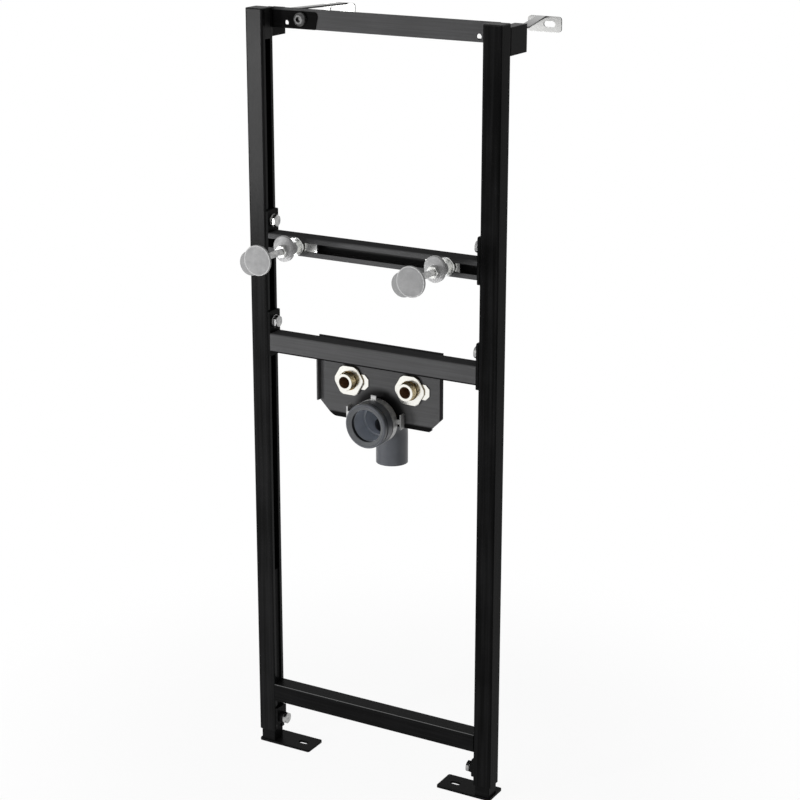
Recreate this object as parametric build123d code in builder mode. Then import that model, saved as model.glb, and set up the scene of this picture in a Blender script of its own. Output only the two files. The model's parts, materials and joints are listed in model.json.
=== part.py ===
"""Basin installation frame: two slotted posts, four bars, telescopic feet and the basin services.

Millimetres, +Z up, +X to the right and +Y to the wall. The floor is z = 0, and x = 0 is the
middle of the frame. Depths are measured from the front of the posts.
"""

import os
from math import cos, radians

from build123d import *

os.makedirs("parts", exist_ok=True)

SIDES = ((-1, "left"), (1, "right"))

# Whole frame
WIDTH = 427.0
HEIGHT = 1200.0
REACH_FRONT = 107.0  # front of the posts to the caps on the basin rods
REACH_WALL = 214.0  # front of the posts to the wall
Y_FRONT = (REACH_FRONT - REACH_WALL) / 2  # puts y = 0 midway between the caps and the wall

# Slotted profile of the posts and the fixing rail, and the plain tube of the other bars
SECTION = 30.0
WALL = 2.0
CORNER = 3.0
SLOT = 14.0
MID = SECTION / 2

# Clearances
SEAT = 0.3  # between pieces that are bolted or pushed together
SLIDE = 0.5  # between a leg and its post, a side
THREAD_GAP = 0.2  # around a bolt or rod

# Posts
POST_FOOT = 22.0
CAP_THICK = 2.0
POST_TOP = HEIGHT - CAP_THICK
POST_X = WIDTH / 2 - SECTION / 2
INNER_X = WIDTH / 2 - SECTION  # inner face of a post
CAP_TONGUE = 44.0

# Legs and feet
LEG = SECTION - 2 * WALL - 2 * SLIDE
LEG_WALL = 2.0
LEG_LENGTH = 300.0
FOOT_THICK = 4.0
FOOT_LENGTH = 94.5
FOOT_DEPTH = 43.0
FOOT_SLOT_IN = 23.0  # inner end of a foot plate to the middle of its slot
FOOT_SLOT_LENGTH = 18.0
FOOT_SLOT_WIDTH = 9.0

# Leg locks
LOCK_Z = 44.0
LOCK_PLATE = (26.0, 30.0, 4.0)  # depth, height, thickness
LOCK_PLATE_RISE = 4.0  # middle of the plate above its bolt
LOCK_BOSS_R = 9.0
LOCK_BOSS_LONG = 6.0
BOLT_R = 5.0
BOLT_FLATS = 17.0
BOLT_HEAD = 6.4
BOLT_WASHER_R = 10.0
BOLT_WASHER = 1.6

# Heights of the bars' undersides
BOTTOM_BAR_Z = 77.0
SERVICE_BAR_Z = 673.0
FIXING_RAIL_Z = 832.0
END_PLATE = (29.0, 71.5, 4.0)  # depth, height, thickness
END_PLATE_BELOW = 7.0  # reach of an end plate below its bar
END_BOLT_ABOVE = 17.0  # bolt above the top of its bar
BAR_HALF = INNER_X - END_PLATE[2]

# Top bar
TOP_BAR_Y = 33.5
TOP_BAR_DROP = 0.5
TOP_BAR_TALL = 30.0
TOP_BAR_DEEP = 20.0
TOP_BAR_WALL = 2.5
TOP_BAR_Z = HEIGHT - TOP_BAR_DROP - TOP_BAR_TALL
TOP_HOLE_IN = 22.7  # inner face of a post to the middle of a hole
TOP_HOLE_UP = 7.9  # underside of the bar to the middle of a hole
TOP_HOLE_X = INNER_X - TOP_HOLE_IN
TOP_HOLE_R = 4.2
TOP_SCREW_IN = 48.5
TOP_SCREW_UP = 14.5
TOP_SCREW_X = TOP_SCREW_IN - INNER_X
TOP_SCREW_Z = TOP_BAR_Z + TOP_SCREW_UP
TOP_SCREW_R = 4.0
TOP_SCREW_LONG = 12.0
TOP_SCREW_HEAD_R = 10.0
TOP_SCREW_HEAD = 8.0
TOP_SCREW_SOCKET = 8.0
JOINT_THICK = 2.0
JOINT_DROP = 4.5  # top of the bar to the top of its joint plate
JOINT_REACH = 78.0  # inner face of the post to the joint plate's tip
JOINT_SLANT = 5.5
JOINT_CORNER = 6.0

# Wall boxes and wall straps
BOX_WIDE = 19.5
BOX_DEEP = 49.7
BOX_DROP = 6.0
BOX_TALL = 40.0
BOX_Z = HEIGHT - BOX_DROP - BOX_TALL
BOX_WALL = 1.5
BOX_X = WIDTH / 2 - BOX_WIDE / 2
BOX_Y = SECTION + SEAT
STRAP_WIDE = 15.0
STRAP_THICK = 2.5
STRAP_START = 40.0
STRAP_BEND = 92.0
STRAP_SWEEP = 32.75  # from the box sideways to the strap's end
STRAP_END_X = BOX_X - STRAP_SWEEP
STRAP_DROP = 5.0  # top of the box to the top of the strap
STRAP_TOP = BOX_Z + BOX_TALL - STRAP_DROP
FLANGE_IN = 26.25  # middle of the box to the middle of the flange
FLANGE_X = BOX_X - FLANGE_IN
FLANGE_LONG = 55.0
FLANGE_TALL = 23.0
FLANGE_CORNER = 5.0
FLANGE_SLOT_IN = 18.25
FLANGE_SLOT_X = BOX_X - FLANGE_SLOT_IN
FLANGE_SLOT_LENGTH = 19.0
FLANGE_SLOT_WIDTH = 9.0

# Service plate
PLATE_HALF = 108.5
PLATE_THICK = 2.5
PLATE_Y = SECTION + SEAT
PLATE_TOP = 704.5
PLATE_BOTTOM = 574.0
PLATE_CHAMFER = 27.0
PLATE_LIP = 9.0
PLATE_LIP_TOP = 671.0
PLATE_BEND_R = 10.0  # outside of the bend along the bottom
PLATE_LEG = 6.0  # flat behind that bend

# Water fittings
WATER_X = 53.4
WATER_Z = 639.5
WATER_FRONT = 12.5
WATER_R = 13.2
WATER_BORE_R = 9.3
WATER_BODY_R = 16.0
WATER_BODY_REAR = 62.0
WATER_TAIL_Y = 46.0
WATER_TAIL_LONG = 40.0
WATER_NUT_FLATS = 47.0
WATER_NUT_R = 25.2  # turned corners of the nut
WATER_NUT_FRONT = 25.0
WATER_NUT_THICK = 3.5
WATER_NUT_SINK = 2.0  # countersink of the nut
WATER_NUT_EDGE = 1.0
WATER_WASHER_R = 22.0
WATER_BODY_ROUND = 5.0
TAB_REACH = 33.5
TAB_TALL = 24.0
TAB_SLANT = 6.5

# Waste elbow, from the front of its collar to the end of its pipe
WASTE_Z = 585.0
WASTE_FRONT = -15.0
WASTE_BORE_R = 25.4
WASTE_COLLAR_R = 35.0
WASTE_COLLAR_END = 8.0
WASTE_GROOVE = -6.5  # middle of the groove round the collar
WASTE_GROOVE_WIDE = 3.0
WASTE_GROOVE_DEEP = 1.5
WASTE_SOCKET_R = 33.0
WASTE_SOCKET_END = 24.0
WASTE_PIPE_R = 25.0
WASTE_PIPE_BORE_R = 22.5
WASTE_PIPE_Y = 67.0
WASTE_NECK = WASTE_SOCKET_END + WASTE_SOCKET_R - WASTE_PIPE_R
WASTE_BEND_R = WASTE_PIPE_Y - WASTE_NECK
WASTE_PIPE_END = 505.0
WASTE_HOLE_GAP = 2.0  # between the neck and the plate
WASTE_EDGE = 1.5
SEAL_R = 31.0
SEAL_BORE_R = 25.6
SEAL_DEEP = 10.0
SEAL_SLOPE = 3.0  # front of the collar to the seal's narrow edge
SEAL_LIP = 2.5
SEAL_WALL = 2.5
CLAMP_THICK = 2.0
CLAMP_FRONT = 10.0
CLAMP_LONG = 12.0
CLAMP_TAB_WIDE = 9.0
CLAMP_TAB_TALL = 9.5  # tab at the top of the band, from its inside
EAR_REACH = {"left": 54.0, "right": 43.0}
EAR_TOP = 15.0
EAR_TALL = 23.0
EAR_WEB = 7.0  # narrow web from the band to each ear
EAR_THICK = 2.5

# Basin rods
ROD_X = 129.3
ROD_R = 5.0
ROD_REAR = 25.0
NUT_FLATS = 17.0
NUT_THICK = 8.0
SLIDER_LONG = 57.0
SLIDER_TALL = 22.0
SLIDER_THICK = 4.0
SLIDER_REACH = 36.0  # rod to the slider's end nearest the middle
RAIL_NUT_R = 14.0
RAIL_NUT_FLANGE = 3.0
BUSH_FRONT = -36.0
BUSH_SLEEVE_R = 10.0
BUSH_R = 17.5
BUSH_RISE = 5.5  # the front disc sits off the rod's centre
BUSH_THICK = 5.0
BUSH_BACK_R = 16.0
BUSH_BACK = 6.0
BUSH_BACK_OFFSET = (-3.0, -2.0)
CAP_R = 23.0
CAP_DISC = 3.5
CAP_BACK_R = 18.5
CAP_SOCKET_R = 9.0
CAP_BACK = 5.0
CAP_OFFSET = (-14.0, -6.3)  # the back disc sits off the rod's centre
ROD_FRONT = CAP_DISC - REACH_FRONT


def facing_front(x, depth, z):
    return Plane(origin=(x, Y_FRONT + depth, z), x_dir=(1, 0, 0), z_dir=(0, -1, 0))


def facing_up(x, depth, z):
    return Plane(origin=(x, Y_FRONT + depth, z), x_dir=(1, 0, 0), z_dir=(0, 0, 1))


def facing_side(x, depth, z, way=1):
    return Plane(origin=(x, Y_FRONT + depth, z), x_dir=(0, 1, 0), z_dir=(way, 0, 0))


def hexagon_radius(flats):
    return flats / 2 / cos(radians(30))


# Posts with their end caps
for side, name in SIDES:
    with BuildPart() as upright:
        with BuildSketch(facing_up(side * POST_X, MID, POST_FOOT)):
            RectangleRounded(SECTION, SECTION, CORNER)
            RectangleRounded(SECTION - 2 * WALL, SECTION - 2 * WALL, CORNER - WALL, mode=Mode.SUBTRACT)
            with Locations((-side * (MID - WALL / 2), 0)):
                Rectangle(2 * WALL, SLOT, mode=Mode.SUBTRACT)
        extrude(amount=POST_TOP - POST_FOOT)
    upright.part.label = f"{name}_upright"
    export_step(upright.part, f"parts/{name}_upright.step")

    with BuildPart() as end_cap:
        with BuildSketch(facing_up(side * POST_X, MID, POST_TOP)):
            RectangleRounded(SECTION, SECTION, CORNER)
        extrude(amount=CAP_THICK)
        fillet(end_cap.faces().sort_by(Axis.Z)[-1].edges(), radius=CAP_THICK * 0.7)
        with BuildSketch(facing_up(side * (INNER_X + WALL / 2), MID, POST_TOP - CAP_TONGUE)):
            Rectangle(WALL, SLOT - 2 * THREAD_GAP)
        extrude(amount=CAP_TONGUE)
    end_cap.part.label = f"{name}_end_cap"
    export_step(end_cap.part, f"parts/{name}_end_cap.step")

# Telescopic legs, each welded to its foot plate, and the locks on the posts
for side, name in SIDES:
    with BuildPart() as leg:
        with BuildSketch(facing_up(side * POST_X, MID, FOOT_THICK)):
            RectangleRounded(LEG, LEG, CORNER - WALL + SLIDE)
            Rectangle(LEG - 2 * LEG_WALL, LEG - 2 * LEG_WALL, mode=Mode.SUBTRACT)
        extrude(amount=LEG_LENGTH)
        with BuildSketch(facing_up(side * (WIDTH - FOOT_LENGTH) / 2, FOOT_DEPTH / 2, 0)):
            RectangleRounded(FOOT_LENGTH, FOOT_DEPTH, CORNER)
            with Locations((side * (FOOT_SLOT_IN - FOOT_LENGTH / 2), 0)):
                SlotOverall(FOOT_SLOT_LENGTH, FOOT_SLOT_WIDTH, mode=Mode.SUBTRACT)
        extrude(amount=FOOT_THICK)
    leg.part.label = f"{name}_leg"
    export_step(leg.part, f"parts/{name}_leg.step")

    with BuildPart() as lock_plate:
        with BuildSketch(facing_side(side * INNER_X, MID, LOCK_Z + LOCK_PLATE_RISE, -side)):
            RectangleRounded(LOCK_PLATE[0], LOCK_PLATE[1], CORNER)
        extrude(amount=LOCK_PLATE[2])
        with BuildSketch(facing_side(side * INNER_X, MID, LOCK_Z, -side)):
            Circle(LOCK_BOSS_R)
        extrude(amount=LOCK_PLATE[2] + LOCK_BOSS_LONG)
        with BuildSketch(facing_side(side * INNER_X, MID, LOCK_Z, -side)):
            Circle(BOLT_R + THREAD_GAP)
        extrude(amount=LOCK_PLATE[2] + LOCK_BOSS_LONG, mode=Mode.SUBTRACT)
    lock_plate.part.label = f"{name}_lock_plate"
    export_step(lock_plate.part, f"parts/{name}_lock_plate.step")

    lock_seat = INNER_X - LOCK_PLATE[2] - LOCK_BOSS_LONG
    with BuildPart() as lock_bolt:
        with BuildSketch(facing_side(side * lock_seat, MID, LOCK_Z, -side)):
            RegularPolygon(hexagon_radius(BOLT_FLATS), 6, rotation=30)
        extrude(amount=BOLT_HEAD)
        with BuildSketch(facing_side(side * lock_seat, MID, LOCK_Z, side)):
            Circle(BOLT_R)
        extrude(amount=POST_X - LEG / 2 - SEAT - lock_seat)
    lock_bolt.part.label = f"{name}_lock_bolt"
    export_step(lock_bolt.part, f"parts/{name}_lock_bolt.step")

# Bottom bar, welded between the posts
with BuildPart() as bottom_bar:
    with BuildSketch(facing_side(-INNER_X, MID, BOTTOM_BAR_Z + MID)):
        RectangleRounded(SECTION, SECTION, CORNER)
        RectangleRounded(SECTION - 2 * WALL, SECTION - 2 * WALL, CORNER - WALL, mode=Mode.SUBTRACT)
    extrude(amount=2 * INNER_X)
bottom_bar.part.label = "bottom_bar"
export_step(bottom_bar.part, "parts/bottom_bar.step")

# Service bar and the slotted fixing rail, each between two end plates
with BuildPart() as service_bar:
    with BuildSketch(facing_side(-BAR_HALF, MID, SERVICE_BAR_Z + MID)):
        RectangleRounded(SECTION, SECTION, CORNER)
        RectangleRounded(SECTION - 2 * WALL, SECTION - 2 * WALL, CORNER - WALL, mode=Mode.SUBTRACT)
    extrude(amount=2 * BAR_HALF)
service_bar.part.label = "service_bar"
export_step(service_bar.part, "parts/service_bar.step")

with BuildPart() as fixing_rail:
    with BuildSketch(facing_side(-BAR_HALF, MID, FIXING_RAIL_Z + MID)):
        RectangleRounded(SECTION, SECTION, CORNER)
        RectangleRounded(SECTION - 2 * WALL, SECTION - 2 * WALL, CORNER - WALL, mode=Mode.SUBTRACT)
        with Locations((-(MID - WALL / 2), 0)):
            Rectangle(2 * WALL, SLOT, mode=Mode.SUBTRACT)
    extrude(amount=2 * BAR_HALF)
fixing_rail.part.label = "fixing_rail"
export_step(fixing_rail.part, "parts/fixing_rail.step")

for bar, bar_z in (("service", SERVICE_BAR_Z), ("fixing", FIXING_RAIL_Z)):
    plate_mid = bar_z - END_PLATE_BELOW + END_PLATE[1] / 2
    bolt_z = bar_z + SECTION + END_BOLT_ABOVE
    for side, name in SIDES:
        with BuildPart() as end_plate:
            with BuildSketch(facing_side(side * INNER_X, MID, plate_mid, -side)):
                RectangleRounded(END_PLATE[0], END_PLATE[1], CORNER)
            extrude(amount=END_PLATE[2])
            with BuildSketch(facing_side(side * INNER_X, MID, bolt_z, -side)):
                Circle(BOLT_R + THREAD_GAP)
            extrude(amount=END_PLATE[2], mode=Mode.SUBTRACT)
        end_plate.part.label = f"{name}_{bar}_end_plate"
        export_step(end_plate.part, f"parts/{name}_{bar}_end_plate.step")

        with BuildPart() as end_bolt:
            with BuildSketch(facing_side(side * BAR_HALF, MID, bolt_z, -side)):
                Circle(BOLT_WASHER_R)
            extrude(amount=BOLT_WASHER)
            with BuildSketch(facing_side(side * BAR_HALF, MID, bolt_z, -side)):
                RegularPolygon(hexagon_radius(BOLT_FLATS), 6, rotation=30)
            extrude(amount=BOLT_WASHER + BOLT_HEAD)
            with BuildSketch(facing_side(side * BAR_HALF, MID, bolt_z, side)):
                Circle(BOLT_R)
            extrude(amount=END_PLATE[2] + SECTION / 2)
        end_bolt.part.label = f"{name}_{bar}_bolt"
        export_step(end_bolt.part, f"parts/{name}_{bar}_bolt.step")

# Top bar, an angle behind the posts, with a joint plate and a screw at its left end
with BuildPart() as top_bar:
    with BuildSketch(facing_front(0, TOP_BAR_Y + TOP_BAR_WALL, TOP_BAR_Z + TOP_BAR_TALL / 2)):
        Rectangle(2 * (BOX_X - BOX_WIDE / 2), TOP_BAR_TALL)
        with Locations((0, TOP_HOLE_UP - TOP_BAR_TALL / 2)):
            with GridLocations(2 * TOP_HOLE_X, 0, 2, 1):
                Circle(TOP_HOLE_R, mode=Mode.SUBTRACT)
        with Locations((TOP_SCREW_X, TOP_SCREW_UP - TOP_BAR_TALL / 2)):
            Circle(TOP_SCREW_R + THREAD_GAP, mode=Mode.SUBTRACT)
    extrude(amount=TOP_BAR_WALL)
    with BuildSketch(facing_up(0, TOP_BAR_Y + TOP_BAR_DEEP / 2, TOP_BAR_Z)):
        Rectangle(2 * (BOX_X - BOX_WIDE / 2), TOP_BAR_DEEP)
    extrude(amount=TOP_BAR_WALL)
top_bar.part.label = "top_bar"
export_step(top_bar.part, "parts/top_bar.step")

joint_start = SEAT - BOX_X + BOX_WIDE / 2
joint_tip = JOINT_REACH - INNER_X
joint_top = TOP_BAR_TALL - JOINT_DROP
with BuildPart() as joint_plate:
    with BuildSketch(facing_front(0, TOP_BAR_Y, TOP_BAR_Z)) as joint_face:
        with BuildLine():
            Polyline(
                (joint_start, 0),
                (joint_tip - JOINT_SLANT, 0),
                (joint_tip, joint_top),
                (joint_start, joint_top),
                close=True,
            )
        make_face()
        fillet(joint_face.vertices().group_by(Axis.X)[-1], radius=JOINT_CORNER)
        with Locations((-TOP_HOLE_X, TOP_HOLE_UP)):
            Circle(TOP_HOLE_R, mode=Mode.SUBTRACT)
        with Locations((TOP_SCREW_X, TOP_SCREW_UP)):
            Circle(TOP_SCREW_R + THREAD_GAP, mode=Mode.SUBTRACT)
    extrude(amount=JOINT_THICK)
joint_plate.part.label = "top_joint_plate"
export_step(joint_plate.part, "parts/top_joint_plate.step")

screw_seat = TOP_BAR_Y - JOINT_THICK
with BuildPart() as top_screw:
    with BuildSketch(facing_front(TOP_SCREW_X, screw_seat, TOP_SCREW_Z)):
        Circle(TOP_SCREW_HEAD_R)
    extrude(amount=TOP_SCREW_HEAD)
    fillet(top_screw.faces().sort_by(Axis.Y)[0].edges(), radius=TOP_SCREW_HEAD / 2)
    with BuildSketch(facing_front(TOP_SCREW_X, screw_seat - TOP_SCREW_HEAD / 2, TOP_SCREW_Z)):
        RegularPolygon(hexagon_radius(TOP_SCREW_SOCKET), 6)
    extrude(amount=TOP_SCREW_HEAD / 2, mode=Mode.SUBTRACT)
    with BuildSketch(facing_front(TOP_SCREW_X, screw_seat + TOP_SCREW_LONG, TOP_SCREW_Z)):
        Circle(TOP_SCREW_R)
    extrude(amount=TOP_SCREW_LONG)
top_screw.part.label = "top_screw"
export_step(top_screw.part, "parts/top_screw.step")

# Wall boxes behind the posts and the straps that reach to the wall
for side, name in SIDES:
    strap_under = STRAP_TOP - STRAP_THICK - SEAT
    with BuildPart() as wall_box:
        with BuildSketch(facing_up(side * BOX_X, BOX_Y + BOX_DEEP / 2, BOX_Z)):
            Rectangle(BOX_WIDE, BOX_DEEP)
        extrude(amount=BOX_TALL)
        with BuildSketch(facing_up(side * BOX_X, BOX_Y + BOX_DEEP / 2 + BOX_WALL, BOX_Z + BOX_WALL)):
            Rectangle(BOX_WIDE - 2 * BOX_WALL, BOX_DEEP)
        extrude(amount=strap_under - BOX_Z - 2 * BOX_WALL, mode=Mode.SUBTRACT)
        with BuildSketch(facing_up(side * BOX_X, STRAP_START - SEAT + BOX_DEEP / 2, strap_under)):
            Rectangle(STRAP_WIDE + 2 * SEAT, BOX_DEEP)
        extrude(amount=STRAP_THICK + 2 * SEAT, mode=Mode.SUBTRACT)
    wall_box.part.label = f"{name}_wall_box"
    export_step(wall_box.part, f"parts/{name}_wall_box.step")

    with BuildPart() as wall_strap:
        with BuildSketch(facing_up(0, 0, STRAP_TOP - STRAP_THICK)):
            with BuildLine():
                Polyline(
                    (side * (BOX_X - STRAP_WIDE / 2), STRAP_START),
                    (side * (BOX_X + STRAP_WIDE / 2), STRAP_START),
                    (side * (BOX_X + STRAP_WIDE / 2), STRAP_BEND),
                    (side * (STRAP_END_X + STRAP_WIDE / 2), REACH_WALL),
                    (side * (STRAP_END_X - STRAP_WIDE / 2), REACH_WALL),
                    (side * (BOX_X - STRAP_WIDE / 2), STRAP_BEND),
                    close=True,
                )
            make_face()
        extrude(amount=STRAP_THICK)
        with BuildSketch(facing_front(side * FLANGE_X, REACH_WALL, STRAP_TOP - FLANGE_TALL / 2)):
            RectangleRounded(FLANGE_LONG, FLANGE_TALL, FLANGE_CORNER)
            with Locations((side * (FLANGE_SLOT_X - FLANGE_X), 0)):
                SlotOverall(FLANGE_SLOT_LENGTH, FLANGE_SLOT_WIDTH, mode=Mode.SUBTRACT)
        extrude(amount=STRAP_THICK)
    wall_strap.part.label = f"{name}_wall_strap"
    export_step(wall_strap.part, f"parts/{name}_wall_strap.step")

# Service plate, a sheet with its bottom bent to the rear, cut out, with a lip down each side
bend_z = PLATE_BOTTOM + PLATE_BEND_R
leg_end = PLATE_Y + PLATE_BEND_R + PLATE_LEG
with BuildPart() as service_plate:
    with BuildSketch(facing_side(-PLATE_HALF, 0, 0)):
        with BuildLine():
            Line((PLATE_Y, PLATE_TOP), (PLATE_Y, bend_z))
            CenterArc((PLATE_Y + PLATE_BEND_R, bend_z), PLATE_BEND_R, 180, 90)
            Polyline(
                (PLATE_Y + PLATE_BEND_R, PLATE_BOTTOM),
                (leg_end, PLATE_BOTTOM),
                (leg_end, PLATE_BOTTOM + PLATE_THICK),
                (PLATE_Y + PLATE_BEND_R, PLATE_BOTTOM + PLATE_THICK),
            )
            CenterArc((PLATE_Y + PLATE_BEND_R, bend_z), PLATE_BEND_R - PLATE_THICK, 180, 90)
            Polyline(
                (PLATE_Y + PLATE_THICK, bend_z),
                (PLATE_Y + PLATE_THICK, PLATE_TOP),
                (PLATE_Y, PLATE_TOP),
            )
        make_face()
    extrude(amount=2 * PLATE_HALF)
    with BuildSketch(facing_front(0, leg_end, 0)):
        for side, name in SIDES:
            with BuildLine():
                Polyline(
                    (side * PLATE_HALF, PLATE_BOTTOM),
                    (side * PLATE_HALF, PLATE_BOTTOM + PLATE_CHAMFER),
                    (side * (PLATE_HALF - PLATE_CHAMFER), PLATE_BOTTOM),
                    close=True,
                )
            make_face()
        with Locations((0, WASTE_Z)):
            Circle(WASTE_PIPE_R + WASTE_HOLE_GAP)
        with Locations((-WATER_X, WATER_Z), (WATER_X, WATER_Z)):
            Circle(WATER_R + SEAT)
    extrude(amount=leg_end - PLATE_Y, mode=Mode.SUBTRACT)
    for side, name in SIDES:
        lip_mid = PLATE_Y + (PLATE_THICK - PLATE_LIP) / 2
        lip_bottom = PLATE_BOTTOM + PLATE_CHAMFER
        with BuildSketch(facing_up(side * (PLATE_HALF - PLATE_THICK / 2), lip_mid, lip_bottom)):
            Rectangle(PLATE_THICK, PLATE_LIP + PLATE_THICK)
        extrude(amount=PLATE_LIP_TOP - lip_bottom)
service_plate.part.label = "service_plate"
export_step(service_plate.part, "parts/service_plate.step")

# Water fittings: a wall elbow through the plate, held by a nut with a washer
for side, name in SIDES:
    with BuildPart() as water_elbow:
        with BuildSketch(facing_front(side * WATER_X, WATER_BODY_REAR, WATER_Z)):
            Circle(WATER_BODY_R)
        extrude(amount=WATER_BODY_REAR - PLATE_Y - PLATE_THICK - SEAT)
        fillet(water_elbow.faces().sort_by(Axis.Y)[-1].edges(), radius=WATER_BODY_ROUND)
        with BuildSketch(facing_front(side * WATER_X, WATER_TAIL_Y, WATER_Z)):
            Circle(WATER_R)
        extrude(amount=WATER_TAIL_Y - WATER_FRONT)
        with BuildSketch(facing_up(side * WATER_X, WATER_TAIL_Y, WATER_Z - WATER_TAIL_LONG)):
            Circle(WATER_R)
        extrude(amount=WATER_TAIL_LONG)
        with BuildSketch(facing_front(side * WATER_X, WATER_TAIL_Y, WATER_Z)):
            Circle(WATER_BORE_R)
        extrude(amount=WATER_TAIL_Y - WATER_FRONT, mode=Mode.SUBTRACT)
        with BuildSketch(facing_up(side * WATER_X, WATER_TAIL_Y, WATER_Z - WATER_TAIL_LONG)):
            Circle(WATER_BORE_R)
        extrude(amount=WATER_TAIL_LONG, mode=Mode.SUBTRACT)
    water_elbow.part.label = f"{name}_water_elbow"
    export_step(water_elbow.part, f"parts/{name}_water_elbow.step")

    washer_front = WATER_NUT_FRONT + WATER_NUT_THICK
    with BuildPart() as water_nut:
        with BuildSketch(facing_front(side * WATER_X, washer_front, WATER_Z)):
            RegularPolygon(hexagon_radius(WATER_NUT_FLATS), 6)
            Circle(WATER_NUT_R, mode=Mode.INTERSECT)
        extrude(amount=WATER_NUT_THICK)
        chamfer(water_nut.faces().sort_by(Axis.Y)[0].edges(), length=WATER_NUT_EDGE)
        with BuildSketch(facing_front(side * WATER_X, SECTION, WATER_Z)):
            Circle(WATER_WASHER_R)
            with BuildLine():
                Polyline(
                    (0, -TAB_TALL / 2),
                    (TAB_REACH - TAB_SLANT, -TAB_TALL / 2),
                    (TAB_REACH, TAB_SLANT - TAB_TALL / 2),
                    (TAB_REACH, TAB_TALL / 2 - TAB_SLANT),
                    (TAB_REACH - TAB_SLANT, TAB_TALL / 2),
                    (0, TAB_TALL / 2),
                    close=True,
                )
            make_face()
        extrude(amount=SECTION - washer_front)
        with BuildSketch(facing_front(side * WATER_X, SECTION, WATER_Z)):
            Circle(WATER_R + THREAD_GAP)
        extrude(amount=SECTION - WATER_NUT_FRONT, mode=Mode.SUBTRACT)
        chamfer(
            water_nut.faces().sort_by(Axis.Y)[0].inner_wires()[0].edges(),
            length=WATER_NUT_SINK,
        )
    water_nut.part.label = f"{name}_water_nut"
    export_step(water_nut.part, f"parts/{name}_water_nut.step")

# Waste elbow: a grooved collar turned about its axis, then the bend and the pipe swept downwards
groove_front = WASTE_GROOVE - WASTE_GROOVE_WIDE / 2
groove_rear = WASTE_GROOVE + WASTE_GROOVE_WIDE / 2
seal_seat = WASTE_FRONT + SEAL_DEEP
with BuildPart() as waste_elbow:
    with BuildSketch(facing_side(0, 0, WASTE_Z)):
        with BuildLine():
            Polyline(
                (WASTE_FRONT, SEAL_R + SEAT),
                (WASTE_FRONT, WASTE_COLLAR_R - WASTE_EDGE),
                (WASTE_FRONT + WASTE_EDGE, WASTE_COLLAR_R),
                (groove_front, WASTE_COLLAR_R),
                (groove_front, WASTE_COLLAR_R - WASTE_GROOVE_DEEP),
                (groove_rear, WASTE_COLLAR_R - WASTE_GROOVE_DEEP),
                (groove_rear, WASTE_COLLAR_R),
                (WASTE_COLLAR_END, WASTE_COLLAR_R),
                (WASTE_COLLAR_END, WASTE_SOCKET_R),
                (WASTE_SOCKET_END, WASTE_SOCKET_R),
                (WASTE_NECK, WASTE_PIPE_R),
                (WASTE_NECK, WASTE_PIPE_BORE_R),
                (WASTE_SOCKET_END, WASTE_PIPE_BORE_R),
                (WASTE_SOCKET_END, WASTE_BORE_R),
                (seal_seat, WASTE_BORE_R),
                (seal_seat, SEAL_R + SEAT),
                close=True,
            )
        make_face()
    revolve(axis=Axis((0, Y_FRONT, WASTE_Z), (0, 1, 0)))
    with BuildLine(facing_side(0, 0, 0)) as waste_path:
        JernArc((WASTE_NECK, WASTE_Z), (1, 0), WASTE_BEND_R, -90)
        Line((WASTE_PIPE_Y, WASTE_Z - WASTE_BEND_R), (WASTE_PIPE_Y, WASTE_PIPE_END))
    with BuildSketch(facing_front(0, WASTE_NECK, WASTE_Z)):
        Circle(WASTE_PIPE_R)
        Circle(WASTE_PIPE_BORE_R, mode=Mode.SUBTRACT)
    sweep(path=waste_path.wires()[0])
waste_elbow.part.label = "waste_elbow"
export_step(waste_elbow.part, "parts/waste_elbow.step")

with BuildPart() as waste_seal:
    with BuildSketch(facing_side(0, 0, WASTE_Z)):
        with BuildLine():
            Polyline(
                (WASTE_FRONT, SEAL_R),
                (WASTE_FRONT + SEAL_SLOPE, SEAL_BORE_R),
                (WASTE_FRONT + SEAL_SLOPE + SEAL_LIP, SEAL_BORE_R),
                (WASTE_FRONT + SEAL_SLOPE + SEAL_LIP, SEAL_R - SEAL_WALL),
                (seal_seat - SEAT, SEAL_R - SEAL_WALL),
                (seal_seat - SEAT, SEAL_R),
                close=True,
            )
        make_face()
    revolve(axis=Axis((0, Y_FRONT, WASTE_Z), (0, 1, 0)))
waste_seal.part.label = "waste_seal"
export_step(waste_seal.part, "parts/waste_seal.step")

clamp_rear = CLAMP_FRONT + CLAMP_LONG
clamp_r = WASTE_SOCKET_R + SEAT
with BuildPart() as waste_clamp:
    for side, name in SIDES:
        ear_x = side * (EAR_REACH[name] - EAR_THICK / 2)
        ear_front = clamp_rear - EAR_THICK
        ear_deep = PLATE_Y - SEAT - ear_front
        ear_base = WASTE_Z + EAR_TOP - EAR_TALL
        with BuildSketch(facing_up(ear_x, ear_front + ear_deep / 2, ear_base)):
            Rectangle(EAR_THICK, ear_deep)
        extrude(amount=EAR_TALL)
        with BuildSketch(facing_up(ear_x / 2, ear_front + EAR_THICK / 2, ear_base + EAR_TALL / 2)):
            Rectangle(abs(ear_x), EAR_THICK)
        extrude(amount=EAR_WEB / 2, both=True)
    with BuildSketch(facing_front(0, clamp_rear, WASTE_Z)):
        Circle(clamp_r + CLAMP_THICK)
    extrude(amount=CLAMP_LONG)
    with BuildSketch(facing_front(0, clamp_rear, WASTE_Z)):
        Circle(clamp_r)
    extrude(amount=CLAMP_LONG, mode=Mode.SUBTRACT)
    with BuildSketch(facing_front(0, CLAMP_FRONT + CLAMP_THICK, WASTE_Z)):
        with Locations((0, clamp_r + CLAMP_TAB_TALL / 2)):
            Rectangle(CLAMP_TAB_WIDE, CLAMP_TAB_TALL)
    extrude(amount=CLAMP_THICK)
waste_clamp.part.label = "waste_clamp"
export_step(waste_clamp.part, "parts/waste_clamp.step")

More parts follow.
